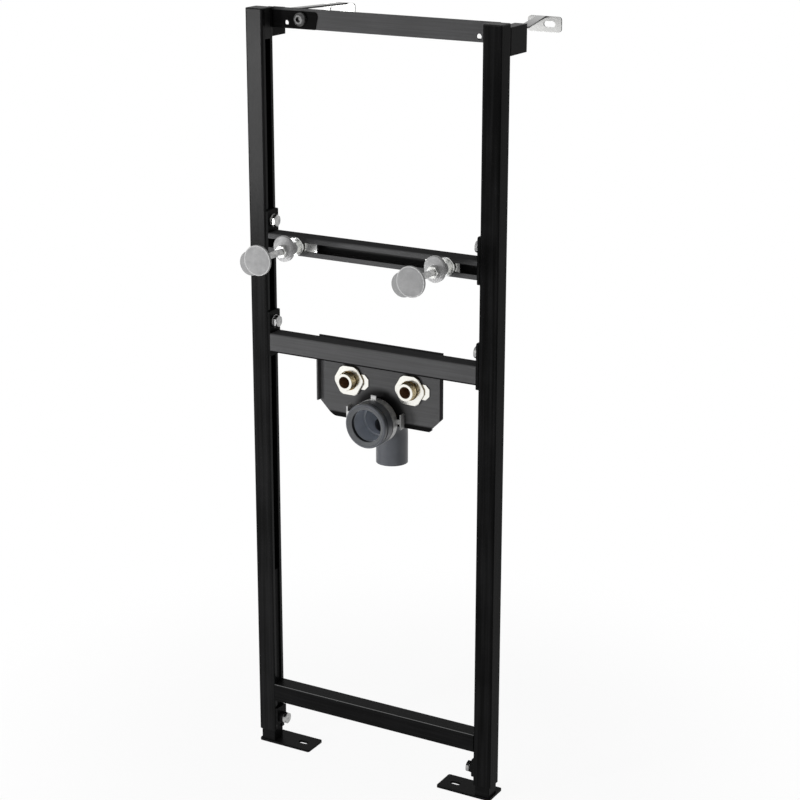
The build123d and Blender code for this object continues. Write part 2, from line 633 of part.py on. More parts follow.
# Basin rods in the fixing rail, from the slider at the back to the cap at the front
ROD_Z = FIXING_RAIL_Z + MID
for side, name in SIDES:
    rod_x = side * ROD_X
    with BuildPart() as rod:
        with BuildSketch(facing_front(rod_x, ROD_REAR, ROD_Z)):
            Circle(ROD_R)
        extrude(amount=ROD_REAR - ROD_FRONT)
        with BuildSketch(facing_front(rod_x, BUSH_FRONT - SEAT, ROD_Z)):
            RegularPolygon(hexagon_radius(NUT_FLATS), 6)
        extrude(amount=NUT_THICK)
    rod.part.label = f"{name}_basin_rod"
    export_step(rod.part, f"parts/{name}_basin_rod.step")

    with BuildPart() as slider:
        slider_mid = side * (ROD_X - SLIDER_REACH + SLIDER_LONG / 2)
        with BuildSketch(facing_front(slider_mid, WALL + SEAT + SLIDER_THICK, ROD_Z)):
            Rectangle(SLIDER_LONG, SLIDER_TALL)
            with Locations((rod_x - slider_mid, 0)):
                Circle(ROD_R + THREAD_GAP, mode=Mode.SUBTRACT)
        extrude(amount=SLIDER_THICK)
    slider.part.label = f"{name}_rail_slider"
    export_step(slider.part, f"parts/{name}_rail_slider.step")

    with BuildPart() as rail_nut:
        with BuildSketch(facing_front(rod_x, 0, ROD_Z)):
            Circle(RAIL_NUT_R)
        extrude(amount=RAIL_NUT_FLANGE)
        with BuildSketch(facing_front(rod_x, 0, ROD_Z)):
            RegularPolygon(hexagon_radius(NUT_FLATS), 6)
        extrude(amount=RAIL_NUT_FLANGE + NUT_THICK)
        with BuildSketch(facing_front(rod_x, 0, ROD_Z)):
            Circle(ROD_R + THREAD_GAP)
        extrude(amount=RAIL_NUT_FLANGE + NUT_THICK, mode=Mode.SUBTRACT)
    rail_nut.part.label = f"{name}_rail_nut"
    export_step(rail_nut.part, f"parts/{name}_rail_nut.step")

    bush_rear = -(RAIL_NUT_FLANGE + NUT_THICK + SEAT)
    with BuildPart() as bush:
        with BuildSketch(facing_front(rod_x, bush_rear, ROD_Z)):
            Circle(BUSH_SLEEVE_R)
        extrude(amount=bush_rear - BUSH_FRONT)
        back_x = rod_x + BUSH_BACK_OFFSET[0]
        back_z = ROD_Z + BUSH_BACK_OFFSET[1]
        with BuildSketch(facing_front(back_x, BUSH_FRONT + BUSH_THICK + BUSH_BACK, back_z)):
            Circle(BUSH_BACK_R)
        extrude(amount=BUSH_BACK)
        with BuildSketch(facing_front(rod_x, BUSH_FRONT + BUSH_THICK, ROD_Z + BUSH_RISE)):
            Circle(BUSH_R)
        extrude(amount=BUSH_THICK)
        fillet(bush.faces().sort_by(Axis.Y)[0].edges(), radius=BUSH_THICK * 0.3)
        with BuildSketch(facing_front(rod_x, bush_rear, ROD_Z)):
            Circle(ROD_R + THREAD_GAP)
        extrude(amount=bush_rear - BUSH_FRONT, mode=Mode.SUBTRACT)
    bush.part.label = f"{name}_bush"
    export_step(bush.part, f"parts/{name}_bush.step")

    with BuildPart() as cap:
        with BuildSketch(facing_front(rod_x + CAP_OFFSET[0], ROD_FRONT + CAP_BACK, ROD_Z + CAP_OFFSET[1])):
            Circle(CAP_BACK_R)
            with Locations((-CAP_OFFSET[0], -CAP_OFFSET[1])):
                Circle(CAP_SOCKET_R)
        extrude(amount=CAP_BACK)
        with BuildSketch(facing_front(rod_x, ROD_FRONT, ROD_Z)):
            Circle(CAP_R)
        extrude(amount=CAP_DISC)
        fillet(cap.faces().sort_by(Axis.Y)[0].edges(), radius=CAP_DISC * 0.3)
        with BuildSketch(facing_front(rod_x, ROD_FRONT + CAP_BACK, ROD_Z)):
            Circle(ROD_R + THREAD_GAP)
        extrude(amount=CAP_BACK + SEAT, mode=Mode.SUBTRACT)
    cap.part.label = f"{name}_rod_cap"
    export_step(cap.part, f"parts/{name}_rod_cap.step")
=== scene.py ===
# %% [markdown] # Basin installation frame A steel frame that hides behind a bathroom wall and
# carries a basin: two slotted posts on telescopic feet, four bars, two threaded rods for the
# basin, two brass water fittings and a waste elbow. This lesson gives every piece its finish,
# and makes the threads and the fasteners that are too fine for the CAD model.

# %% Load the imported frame
import json
import math

import bmesh
import bpy
from mathutils import Euler, Matrix, Vector


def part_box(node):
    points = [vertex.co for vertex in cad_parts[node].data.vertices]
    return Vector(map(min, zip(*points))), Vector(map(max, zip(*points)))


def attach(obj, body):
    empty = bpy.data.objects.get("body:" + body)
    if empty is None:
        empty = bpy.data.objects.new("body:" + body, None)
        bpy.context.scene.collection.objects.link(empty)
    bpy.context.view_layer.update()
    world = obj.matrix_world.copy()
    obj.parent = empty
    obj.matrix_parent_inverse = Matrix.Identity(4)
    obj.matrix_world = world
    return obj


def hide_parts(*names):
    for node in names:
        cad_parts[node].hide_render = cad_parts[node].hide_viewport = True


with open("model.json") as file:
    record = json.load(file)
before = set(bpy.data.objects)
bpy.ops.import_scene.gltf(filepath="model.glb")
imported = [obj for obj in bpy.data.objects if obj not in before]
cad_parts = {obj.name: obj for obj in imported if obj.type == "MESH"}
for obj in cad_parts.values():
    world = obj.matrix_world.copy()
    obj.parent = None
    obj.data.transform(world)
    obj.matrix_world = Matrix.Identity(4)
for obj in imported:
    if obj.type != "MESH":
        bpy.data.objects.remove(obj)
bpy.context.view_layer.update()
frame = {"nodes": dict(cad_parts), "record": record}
nodes = frame["nodes"]
MM = 0.001
SIDES = ("left", "right")

# %% [markdown]
# ## A short way to write node trees
# A finish or a thread is a formula, and a formula reads best as one line of arithmetic. `Wire`
# wraps a socket, so that `1 - mask` adds the Math node for it. `Recipe` holds a tree and makes
# any other node from its type, its settings and its sockets. The same two classes serve for the
# materials and for Geometry Nodes, because both kinds of tree know the Math node.


# %% Wires and recipes
class Wire:
    """A socket that can stand in a sum."""

    def __init__(self, recipe, socket):
        self.recipe = recipe
        self.socket = socket

    def math(self, operation, *terms):
        settings = {"operation": operation}
        return self.recipe.node("ShaderNodeMath", settings, dict(enumerate(terms)))

    def __add__(self, other):
        return self.math("ADD", self, other)

    def __radd__(self, other):
        return self.math("ADD", other, self)

    def __sub__(self, other):
        return self.math("SUBTRACT", self, other)

    def __rsub__(self, other):
        return self.math("SUBTRACT", other, self)

    def __mul__(self, other):
        return self.math("MULTIPLY", self, other)

    def __rmul__(self, other):
        return self.math("MULTIPLY", other, self)

    def __truediv__(self, other):
        return self.math("DIVIDE", self, other)

    def __mod__(self, other):
        return self.math("FLOORED_MODULO", self, other)

    def __pow__(self, other):
        return self.math("POWER", self, other)

    def __abs__(self):
        return self.math("ABSOLUTE", self)

    def above(self, other):
        return self.math("GREATER_THAN", self, other)

    def most(self, other):
        return self.math("MAXIMUM", self, other)

    def least(self, other):
        return self.math("MINIMUM", self, other)

    def floor(self):
        return self.math("FLOOR", self)

    def cos(self):
        return self.math("COSINE", self)

    def sin(self):
        return self.math("SINE", self)

    def ramp(self, low, high):
        """0 below low, 1 above high, smooth between them."""
        settings = {"interpolation_type": "SMOOTHSTEP"}
        return self.recipe.node("ShaderNodeMapRange", settings, {0: self, 1: low, 2: high})


def axis_distance(x, z, axis_x, axis_z):
    """How far a place lies from an axis along Y, or from the mirror of that axis."""
    across = abs(x) - axis_x
    above = z - axis_z
    return (across * across + above * above) ** 0.5


class Recipe:
    """A node tree that is written as Python expressions."""

    def __init__(self, tree):
        self.tree = tree

    def node(self, kind, settings=None, sockets=None, output=0):
        made = self.tree.nodes.new(kind)
        for name, value in (settings or {}).items():
            setattr(made, name, value)
        for name, value in (sockets or {}).items():
            self.feed(made.inputs[name], value)
        return Wire(self, made.outputs[output])

    def feed(self, socket, value):
        if isinstance(value, Wire):
            self.tree.links.new(value.socket, socket)
        else:
            socket.default_value = value


print("recipes ready")

# %% [markdown]
# ## What every finish shares
# Each finish reads the Object coordinates of its piece. Every piece sits at the origin with its
# place in its mesh, so these are metres in the frame of the whole object, and a grain of half a
# millimetre is half a millimetre on every piece. Noise moves the colour and the roughness a
# little, and a Bump node gives the skin its relief.


# %% Finish
class Finish(Recipe):
    """A material whose formulas feed one Principled shader."""

    def __init__(self, name, constants):
        self.material = bpy.data.materials.new(name)
        self.material.use_nodes = True
        super().__init__(self.material.node_tree)
        self.shader = self.tree.nodes["Principled BSDF"]
        self.place = self.node("ShaderNodeTexCoord", output="Object")
        for socket, value in constants.items():
            self.shader.inputs[socket].default_value = value

    def stretched(self, scale):
        """The place, drawn out along an axis by a small scale on it."""
        return self.node("ShaderNodeMapping", None, {"Vector": self.place, "Scale": scale})

    def noise(self, grain, detail=2.0, place=None):
        """Noise whose patches are about as wide as grain, in metres."""
        sockets = {"Vector": place or self.place, "Scale": 1 / grain, "Detail": detail}
        return self.node("ShaderNodeTexNoise", None, sockets)

    def parts(self, vector):
        split = self.node("ShaderNodeSeparateXYZ", None, {0: vector})
        return [Wire(self, out) for out in split.socket.node.outputs]

    def axes(self):
        """The place as x, y and z."""
        return self.parts(self.place)

    def facing(self):
        """The surface normal as x, y and z."""
        return self.parts(self.node("ShaderNodeNewGeometry", output="Normal"))

    def between(self, amount, first, second):
        """A mix of two fixed colours."""
        return self.layered(amount, (*first, 1), second)

    def layered(self, amount, under, over):
        """A fixed colour over what is mixed already."""
        sockets = {0: amount, 6: under, 7: (*over, 1)}
        return self.node("ShaderNodeMix", {"data_type": "RGBA"}, sockets, output=2)

    def wear(self, colour, roughness, height=None, depth=0.0):
        """Feed the shader. height runs from 0 to 1, and depth is its relief in metres."""
        self.feed(self.shader.inputs["Base Color"], colour)
        self.feed(self.shader.inputs["Roughness"], roughness)
        if height:
            relief = self.node("ShaderNodeBump", None, {"Height": height, "Distance": depth})
            self.feed(self.shader.inputs["Normal"], relief)
        return self.material


print("finish class ready")

# %% [markdown]
# ## Powder coat
# The posts and bars are steel with a baked powder coat. Powder melts into a skin like the peel
# of an orange, with waves of about a millimetre, so the bump has a coarse and a fine noise. The
# strip under it was rolled, and its fine lines still show through, along Z on the posts and along
# X on the bars: a noise that is drawn out along that axis gives them. The posts are near black.
# The bars and the plate have a coat that is a shade greyer, which the photograph shows beside the
# posts. A low specular level keeps the black from greying out in a white room. The left post has
# a little more of it, for the sheen that the photograph shows there.
#
# Three pieces have a mask of their own, for tones that the photograph shows. The service plate has
# painted shade in its bend and a painted shadow around the waste pipe, and painted shade on the
# lower edge of the bar that carries it. The front edge on top of the bottom bar has a painted
# highlight.

# %% Powder coat
ALONG_POST = (1.0, 1.0, 0.02)
ALONG_BAR = (0.02, 1.0, 1.0)
POST_LINES, BAR_LINES = 4.5 * MM, 2.2 * MM
CLOUD, PEEL, SPECK = 90 * MM, 1.6 * MM, 0.5 * MM
COAT_RELIEF = 0.05 * MM


def powder_coat(name, dark, light, roughness, specular, rolled, wide=BAR_LINES, mark=None):
    """A coat over rolled lines. mark gives a mask from the place, and the colour of the painted
    shade or highlight that it shows.
    """
    coat = Finish(name, {"Specular IOR Level": specular})
    cloud = coat.noise(CLOUD, 3.0)
    lines = coat.noise(wide, 2.0, coat.stretched(rolled))
    peel = coat.noise(PEEL, 1.0)
    speck = coat.noise(SPECK, 1.0)
    colour = coat.between((cloud * 0.4 + lines * 0.6).ramp(0.35, 0.65), dark, light)
    if mark:
        mask, marked = mark
        colour = coat.layered(mask(*coat.axes()), colour, marked)
    skin = peel * 0.5 + speck * 0.15 + lines * 0.35
    uneven = roughness - 0.08 + 0.10 * cloud + 0.06 * lines
    return coat.wear(colour, uneven, skin, COAT_RELIEF)


print("powder coat ready")

# %% Masks on the coat
COLLAR_X, COLLAR_Z = 0.0, 585 * MM
BEND_TALL, BEND_FADE = 9 * MM, 4 * MM
PIPE_SHADOW_R, PIPE_SHADOW_FADE = 40 * MM, 14 * MM
EDGE_TALL, EDGE_FADE = 2.4 * MM, 1 * MM
HIGHLIGHT_DOWN = (0.3 * MM, 1.3 * MM)
HIGHLIGHT_BACK = (0.8 * MM, 2.2 * MM)


def shaded_bend_and_pipe_shadow(x, y, z):
    """Painted shade on the lowest strip of the service plate, and a soft round painted shadow
    behind the waste collar.
    """
    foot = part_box("service_plate")[0][2]
    bend = 1 - z.ramp(foot + BEND_TALL, foot + BEND_TALL + BEND_FADE)
    out = axis_distance(x, z, COLLAR_X, COLLAR_Z)
    pipe_shadow = 1 - out.ramp(PIPE_SHADOW_R, PIPE_SHADOW_R + PIPE_SHADOW_FADE)
    return bend.most(pipe_shadow * 0.9)


def shaded_lower_edge(x, y, z):
    """Painted shade along the bottom edge of the service bar."""
    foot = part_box("service_bar")[0][2]
    return 1 - z.ramp(foot + EDGE_TALL, foot + EDGE_TALL + EDGE_FADE)


def painted_highlight_edge(x, y, z):
    """A painted highlight on the edge between the top and the front of the bottom bar."""
    low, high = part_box("bottom_bar")
    from_top = 1 - (high[2] - z).ramp(*HIGHLIGHT_DOWN)
    from_front = 1 - (y - low[1]).ramp(*HIGHLIGHT_BACK)
    return from_top * from_front


print("three masks")

# %% Black and grey coats
BLACK = ((0.0050,) * 3, (0.0088, 0.0088, 0.0091))
POST_BLACK = ((0.0036,) * 3, (0.0104, 0.0104, 0.0107))
GREY = ((0.076, 0.076, 0.077), (0.090, 0.090, 0.092))
# The next colour is painted shade, for the plate and the bar, and the one after it a painted
# highlight.
PAINTED_SHADE = (0.007, 0.007, 0.007)
PAINTED_HIGHLIGHT = (0.30, 0.30, 0.30)

on_post = {"roughness": 0.24, "rolled": ALONG_POST, "wide": POST_LINES}
on_bar = {"roughness": 0.36, "specular": 0.02, "rolled": ALONG_BAR}
grey_coat = {"roughness": 0.42, "specular": 0.0, "rolled": ALONG_BAR}
matt_coat = {"roughness": 0.5, "specular": 0.0, "rolled": ALONG_BAR}

left_paint = powder_coat("black coat on left post", *POST_BLACK, specular=0.05, **on_post)
right_paint = powder_coat("black coat on right post", *POST_BLACK, specular=0.014, **on_post)
black_paint = powder_coat("black coat", *BLACK, **on_bar)
matt_paint = powder_coat("matt black coat", *BLACK, **matt_coat)
grey_paint = powder_coat("grey coat", *GREY, **grey_coat)

# The plate carries painted shade in its bend and a painted shadow behind the waste collar.
plate_shade_mark = (shaded_bend_and_pipe_shadow, PAINTED_SHADE)
plate_paint = powder_coat("grey coat on plate", *GREY, **grey_coat, mark=plate_shade_mark)
# The bar carries painted shade along its lower edge.
bar_shade_mark = (shaded_lower_edge, PAINTED_SHADE)
bar_paint = powder_coat("grey coat on bar", *GREY, **grey_coat, mark=bar_shade_mark)
# The bottom bar carries a painted highlight along the front edge of its top.
bottom_highlight_mark = (painted_highlight_edge, PAINTED_HIGHLIGHT)
bottom_paint = powder_coat("black coat on bottom bar", *BLACK, **on_bar, mark=bottom_highlight_mark)
print("eight coats of paint")

# %% [markdown]
# ## Moulded plastics
# The post caps, the grey bushes and caps on the rods, and the waste elbow are injection mouldings.
# A mould leaves an even skin with a very fine grain, and a faint flow pattern in the colour.

# %% Plastics
SOFT_GREY = ((0.43, 0.43, 0.432), (0.53, 0.53, 0.532))
SOFT_BLACK = ((0.004,) * 3, (0.007,) * 3)
FLOW = 25 * MM
MOULD_RELIEF = 0.02 * MM


def moulding(name, dark, light, roughness, grain, specular):
    plastic = Finish(name, {"Specular IOR Level": specular})
    flow = plastic.noise(FLOW, 2.0)
    skin = plastic.noise(grain, 2.0)
    colour = plastic.between(flow.ramp(0.25, 0.75), dark, light)
    return plastic.wear(colour, roughness - 0.05 + 0.1 * skin, skin, MOULD_RELIEF)


black_plastic = moulding("black moulding", *SOFT_BLACK, 0.5, grain=0.7 * MM, specular=0.1)
grey_plastic = moulding("grey moulding", *SOFT_GREY, 0.42, grain=0.5 * MM, specular=0.3)
print(black_plastic.name, "and", grey_plastic.name)

# %% [markdown]
# ## Rod caps
# Each rod ends in a cap of two discs, one behind the other and off its centre. The edge of the
# front disc has a painted highlight, and the disc behind it is painted a tone deeper, as painted
# shade. Distance from the rod finds the edge, and the depth finds the disc behind.

# %% Cap plastic
ROD_X, ROD_Z = 129.3 * MM, 847 * MM
CAP_R, CAP_DISC = 23 * MM, 3.5 * MM
CAP_BODY = ((0.23, 0.23, 0.232), (0.285, 0.285, 0.287))
CAP_HIGHLIGHT = (0.55, 0.55, 0.55)
CAP_SHADE = (0.25, 0.25, 0.252)


def cap_moulding():
    cap = Finish("grey cap", {"Specular IOR Level": 0.3})
    x, y, z = cap.axes()
    out = axis_distance(x, z, ROD_X, ROD_Z)
    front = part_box("left_rod_cap")[0][1]
    # The disc behind is painted a tone darker: painted shade.
    behind = y.ramp(front + CAP_DISC - 0.4 * MM, front + CAP_DISC)
    # The edge of the front disc gets a painted highlight.
    edge = out.ramp(CAP_R - 2.2 * MM, CAP_R - 1.0 * MM) * (1 - behind)
    flow = cap.noise(12 * MM, 3.0).ramp(0.25, 0.75)
    skin = cap.noise(0.5 * MM, 2.0)
    edged = cap.layered(edge * 0.7, cap.between(flow, *CAP_BODY), CAP_HIGHLIGHT)
    colour = cap.layered(behind, edged, CAP_SHADE)
    return cap.wear(colour, 0.36 + 0.1 * skin, skin, MOULD_RELIEF)


cap_plastic = cap_moulding()
print(cap_plastic.name)

# %% [markdown]
# ## Waste pipe and its seal
# The pipe is dark outside, and the inside of its bore is painted paler, as painted light where the
# bore lies in shade. The inside is found without a mark on the mesh: it lies within the bore, and
# its surface faces the axis of the collar or the open front. The seal in the mouth is a softer,
# duller rubber. Its bore is painted nearly black, as painted shade.

# %% Two-layer pipe and rubber
BORE_R = 26 * MM
PIPE_OUTSIDE = ((0.058, 0.062, 0.072), (0.074, 0.079, 0.089))
PIPE_PAINTED_LIGHT = (0.43, 0.455, 0.50)
RUBBER = ((0.092, 0.096, 0.101), (0.115, 0.119, 0.125))
RUBBER_BORE_SHADE = (0.018, 0.019, 0.021)


def about_collar(finish):
    """How far out a surface lies from the collar's axis, and how much it faces in and forward."""
    x, y, z = finish.axes()
    nx, ny, nz = finish.facing()
    out = axis_distance(x, z, COLLAR_X, COLLAR_Z)
    inward = 0 - (x * nx + (z - COLLAR_Z) * nz) / out.most(1 * MM)
    return out, inward, 0 - ny


def pipe_plastic():
    pipe = Finish("two layer pipe", {"Specular IOR Level": 0.45})
    out, inward, forward = about_collar(pipe)
    inner = inward.ramp(0.2, 0.6).most(forward.ramp(0.2, 0.6))
    # The inside of the bore is painted pale: painted light where the bore lies in shade.
    inside = inner * (1 - out.ramp(BORE_R - 0.3 * MM, BORE_R))
    flow = pipe.noise(FLOW, 2.0).ramp(0.25, 0.75)
    skin = pipe.noise(0.6 * MM, 2.0)
    colour = pipe.layered(inside, pipe.between(flow, *PIPE_OUTSIDE), PIPE_PAINTED_LIGHT)
    return pipe.wear(colour, 0.36 + 0.1 * skin, skin, MOULD_RELIEF)


def rubber():
    seal = Finish("seal rubber", {"Specular IOR Level": 0.3})
    inward = about_collar(seal)[1]
    flow = seal.noise(FLOW, 2.0).ramp(0.25, 0.75)
    skin = seal.noise(0.4 * MM, 2.0)
    # The bore of the seal is painted nearly black, as painted shade.
    colour = seal.layered(inward.ramp(0.7, 0.9), seal.between(flow, *RUBBER), RUBBER_BORE_SHADE)
    return seal.wear(colour, 0.55 + 0.1 * skin, skin, MOULD_RELIEF)


waste_plastic = pipe_plastic()
seal_rubber = rubber()
print(waste_plastic.name, "and", seal_rubber.name)

# %% [markdown]
# ## Plated steel
# Bolts, rods, nuts and wall straps are zinc plated. The plating is soft and cloudy, with a faint
# yellow and blue cast, and the strip it covers was rolled, so a stretched noise draws fine lines
# along it. The nuts on the rail are fresh and bright. The bolts and rods are duller, the clamp has
# gone chalky, and the screw in the top bar is dark.

# %% Zinc
ALONG_STRIP = (1.0, 0.06, 1.0)
CAST_GRAIN, DRAWN_GRAIN = 6 * MM, 0.8 * MM
PLATING_RELIEF = 0.012 * MM
STRAP_DULL, STRAP_BRIGHT = (0.03, 0.03, 0.031), (0.30, 0.30, 0.295)
STRAP_EDGE_SHADE = (0.03, 0.03, 0.03)
DULL_UNTIL, BRIGHT_FROM = 140 * MM, 10 * MM


def plating(name, cool, warm, roughness, metallic=1.0):
    zinc = Finish(name, {"Metallic": metallic})
    cast = zinc.noise(CAST_GRAIN, 3.0)
    drawn = zinc.noise(DRAWN_GRAIN, 2.0, zinc.stretched(ALONG_STRIP))
    colour = zinc.between((cast * 0.7 + drawn * 0.3).ramp(0.35, 0.65), cool, warm)
    return zinc.wear(colour, roughness - 0.08 + 0.16 * drawn, drawn, PLATING_RELIEF)


def strap_plating():
    """Darker near its box, and brighter toward the end that meets the wall. Its narrow faces carry
    painted shade.
    """
    zinc = Finish("strap zinc", {"Metallic": 1.0})
    y = zinc.axes()[1]
    nx, ny, nz = zinc.facing()
    cast = zinc.noise(CAST_GRAIN, 3.0)
    drawn = zinc.noise(DRAWN_GRAIN, 2.0, zinc.stretched(ALONG_STRIP))
    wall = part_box("right_wall_strap")[1][1]
    outer = y.ramp(wall - DULL_UNTIL, wall - BRIGHT_FROM)
    broad = abs(ny).most(abs(nz)).ramp(0.7, 0.9)
    body = zinc.between(outer * 0.8 + cast * 0.2, STRAP_DULL, STRAP_BRIGHT)
    # The narrow faces of the strap are painted dark, as painted shade on its edges.
    colour = zinc.layered(1 - broad, body, STRAP_EDGE_SHADE)
    return zinc.wear(colour, 0.26 + 0.16 * drawn, drawn, PLATING_RELIEF)


bright_zinc = plating("bright zinc", (0.62, 0.63, 0.63), (0.80, 0.80, 0.77), 0.24)
dull_zinc = plating("dull zinc", (0.24, 0.24, 0.245), (0.42, 0.42, 0.41), 0.26)
strap_zinc = strap_plating()
clamp_zinc = plating("clamp zinc", (0.34, 0.34, 0.345), (0.52, 0.52, 0.51), 0.40, metallic=0.45)
screw_zinc = plating("screw zinc", (0.05, 0.05, 0.051), (0.11, 0.11, 0.109), 0.46)
print("five kinds of zinc")

# %% [markdown]
# ## Turned brass
# Both water fittings are turned on a lathe, and a lathe leaves rings around its axis. The axis of
# each fitting is 53.4 mm from the middle, so the absolute value of x finds both, and the distance
# from the axis drives the rings. What faces the front is pale, its own turned face and partly a
# painted highlight, and the flanks of the rim carry painted shade. The bore has darkened to brown,
# and the thread and the countersink of the nut lie between the two.

# %% Brass
FITTING_X, FITTING_Z = 53.4 * MM, 639.5 * MM
RING_PITCH = 0.5 * MM
BROWN = (0.225, 0.128, 0.075)
SHADE = (0.16, 0.13, 0.08)
OLIVE = ((0.17, 0.13, 0.06), (0.78, 0.66, 0.42))
CREAM = (0.88, 0.87, 0.82)


def turned(name, dark_to, pale_from):
    """Brown up to one distance from the axis, and olive from there on. What faces the front is
    cream, partly as a painted highlight, and so is the rim beyond the other distance, but its
    flanks carry painted shade."""
    brass = Finish(name, {})
    x, y, z = brass.axes()
    toward = 0 - brass.facing()[1]
    out = axis_distance(x, z, FITTING_X, FITTING_Z)
    rings = ((out + y) * (2 * math.pi / RING_PITCH)).sin() * 0.5 + 0.5
    stain = brass.noise(3 * MM, 3.0)
    bore = 1 - out.ramp(dark_to - 0.2 * MM, dark_to + 0.2 * MM)
    beyond = out.ramp(pale_from, pale_from + 0.6 * MM)
    tilted = toward.ramp(0.2, 0.5)
    # What faces the front is painted cream, partly as a painted highlight, and the flanks beyond
    # are painted shade.
    rim = (beyond * tilted).most(toward.ramp(0.8, 0.95)) * (1 - bore)
    flank = beyond * (1 - tilted)
    body = brass.layered(bore, brass.between(stain.ramp(0.3, 0.7), *OLIVE), BROWN)
    colour = brass.layered(flank, brass.layered(rim, body, CREAM), SHADE)
    brass.feed(brass.shader.inputs["Metallic"], 1 - 0.8 * bore)
    roughness = 0.26 + 0.14 * stain - 0.16 * rim
    return brass.wear(colour, roughness, rings * 0.4 + stain * 0.6, PLATING_RELIEF)


brass = turned("turned brass", dark_to=9.4 * MM, pale_from=30 * MM)
pale_brass = turned("pale brass", dark_to=5 * MM, pale_from=17.2 * MM)
print(brass.name, "and", pale_brass.name)

# %% [markdown]
# ## Finishes onto the CAD pieces
# The record names a material slot for each node, so one table turns slots into finishes. A second
# table holds the nodes that differ from the rest of their slot.

# %% Dress the CAD nodes
FINISHES = {
    "black_paint": black_paint,
    "grey_paint": grey_paint,
    "black_plastic": black_plastic,
    "grey_plastic": grey_plastic,
    "waste_plastic": waste_plastic,
    "seal_rubber": seal_rubber,
    "zinc": dull_zinc,
    "dark_zinc": screw_zinc,
    "brass": brass,
    "pale_brass": pale_brass,
}
OWN_FINISH = {
    "left_upright": left_paint,
    "right_upright": right_paint,
    "left_rail_slider": bright_zinc,
    "right_rail_slider": bright_zinc,
    "top_joint_plate": matt_paint,
    "service_plate": plate_paint,
    "service_bar": bar_paint,
    "bottom_bar": bottom_paint,
    "waste_clamp": clamp_zinc,
    "left_wall_strap": strap_zinc,
    "right_wall_strap": strap_zinc,
    "left_rod_cap": cap_plastic,
    "right_rod_cap": cap_plastic,
}
for subpart in frame["record"]["subparts"]:
    node = subpart["node"]
    mesh = nodes[node].data
    mesh.materials.clear()
    mesh.materials.append(OWN_FINISH.get(node, FINISHES[subpart["material_slot"]]))
print(len(FINISHES), "slots and", len(OWN_FINISH), "own finishes on", len(nodes), "nodes")

# %% [markdown]
# ## Geometry Nodes as a workshop
# Threads, nuts and bolt heads all come from one idea: take a flat grid, wind it around an axis,
# and let each row of the grid have its own radius and height. The rows that meet are welded. A
# tree is given its named sizes as inputs, so one recipe cuts every rod or every nut.


# %% Modeller
WELD = 0.02 * MM


class Modeller(Recipe):
    """A Geometry Nodes tree with named inputs."""

    def __init__(self, name):
        super().__init__(bpy.data.node_groups.new(name, "GeometryNodeTree"))
        new_socket, kind = self.tree.interface.new_socket, "NodeSocketGeometry"
        new_socket("Geometry", in_out="OUTPUT", socket_type=kind)
        new_socket("Places", in_out="INPUT", socket_type=kind)
        self.start = self.tree.nodes.new("NodeGroupInput")
        self.names = {}

    def size(self, name):
        """Add a named size, and return its wire."""
        made = self.tree.interface.new_socket(name, in_out="INPUT", socket_type="NodeSocketFloat")
        self.names[name] = made.identifier
        return Wire(self, self.start.outputs[name])

    def wound(self, columns, rows, radius, height):
        """A grid wound around Z. radius and height are functions of the row and the turn."""
        grid = self.node("GeometryNodeMeshGrid", None, {"Vertices X": columns, "Vertices Y": rows})
        index = self.node("GeometryNodeInputIndex")
        turn = (index / rows).floor() / (columns - 1)
        row = index % rows
        angle = turn * (2 * math.pi)
        out = radius(row, turn)
        spot = {0: out * angle.cos(), 1: out * angle.sin(), 2: height(row, turn)}
        place = self.node("ShaderNodeCombineXYZ", None, spot)
        moved = self.node("GeometryNodeSetPosition", None, {"Geometry": grid, "Position": place})
        welded = {"Geometry": moved, "Distance": WELD}
        return self.node("GeometryNodeMergeByDistance", None, welded)

    def joined(self, *shapes):
        made = self.tree.nodes.new("GeometryNodeJoinGeometry")
        for shape in shapes:
            self.tree.links.new(shape.socket, made.inputs[0])
        return Wire(self, made.outputs[0])

    def on_places(self, shape, finish):
        """Put the shape on every point, turned to the point's way, then realize it."""
        vector = {"data_type": "FLOAT_VECTOR"}
        way = self.node("GeometryNodeInputNamedAttribute", vector, {"Name": "way"})
        turned_to = self.node("FunctionNodeAlignRotationToVector", {"axis": "Z"}, {"Vector": way})
        places = Wire(self, self.start.outputs["Places"])
        sockets = {"Points": places, "Instance": shape, "Rotation": turned_to}
        placed = self.node("GeometryNodeInstanceOnPoints", None, sockets)
        real = self.node("GeometryNodeRealizeInstances", None, {0: placed})
        dressed = self.node("GeometryNodeSetMaterial", None, {"Geometry": real, "Material": finish})
        end = self.tree.nodes.new("NodeGroupOutput")
        self.tree.links.new(dressed.socket, end.inputs[0])


